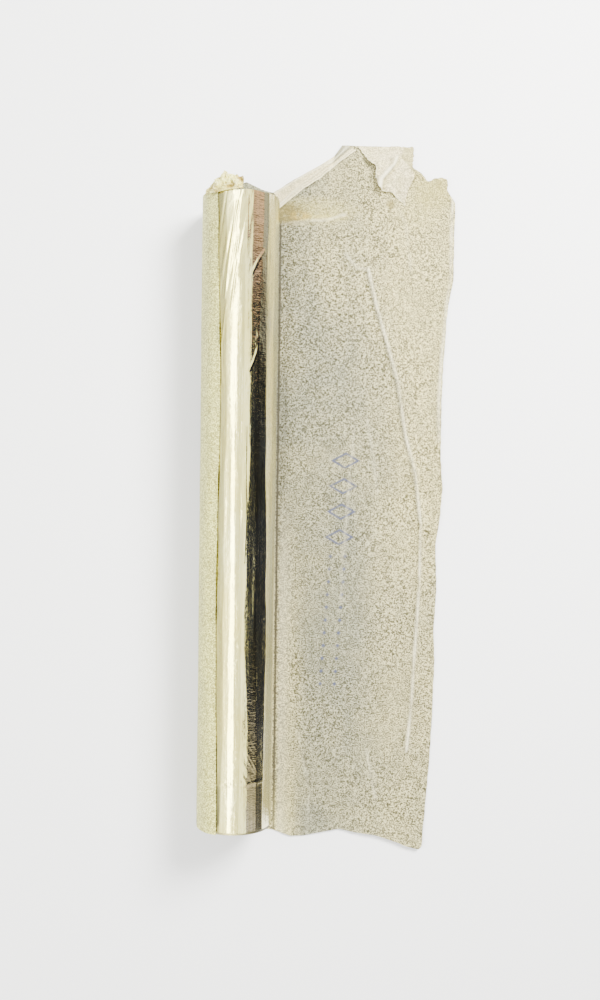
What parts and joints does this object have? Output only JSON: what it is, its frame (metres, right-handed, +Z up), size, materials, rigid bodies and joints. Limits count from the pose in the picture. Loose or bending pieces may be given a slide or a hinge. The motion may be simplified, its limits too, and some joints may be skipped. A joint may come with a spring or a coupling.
{
  "type": "foil roll in opened tissue wrapper",
  "caption": "Roll of thin metal foil on a cardboard core, lying on its opened translucent tissue wrapper with a torn, folded top edge.",
  "frame": {"origin": "on the surface that the wrapper lies on, under the middle of the roll", "axes": "+X to the right across the open wrapper, +Y along the roll, +Z up"},
  "size_m": [0.1246, 0.3515, 0.0366],
  "materials": {
    "core": "matt grey-brown board",
    "foil": "bright, pale gold tint",
    "tissue": "matt, mottled, translucent"
  },
  "bodies": {
    "wrapper": {"wrapper_bed": "tissue"},
    "roll": {"core_tube": "core", "foil_winding": "foil", "foil_outer_turn": "foil"},
    "lap": {"wrapper_lap": "tissue", "wrapper_end_crumple": "tissue"},
    "open_flap": {"wrapper_open_flap": "tissue", "wrapper_top_fold": "tissue"},
    "torn_flap": {"wrapper_torn_flap": "tissue"}
  },
  "joints": [
    {"name": "roll_spin", "type": "hinge", "parent": "wrapper", "child": "roll", "pos_m": [0, 0, 0.0186], "axis": [0, 1, 0], "continuous": true},
    {"name": "lap_peel", "type": "hinge", "parent": "wrapper", "child": "lap", "pos_m": [-0.0186, 0, 0.0186], "axis": [0, -1, 0], "range_deg": [0, 90]},
    {"name": "open_flap_lift", "type": "hinge", "parent": "wrapper", "child": "open_flap", "pos_m": [0.02015, 0, 0.0003], "axis": [0, -1, 0], "range_deg": [0, 80]},
    {"name": "torn_flap_lift", "type": "hinge", "parent": "open_flap", "child": "torn_flap", "pos_m": [0.0705, 0.184, 0.0006], "axis": [-1, 0, 0], "range_deg": [0, 140]}
  ]
}
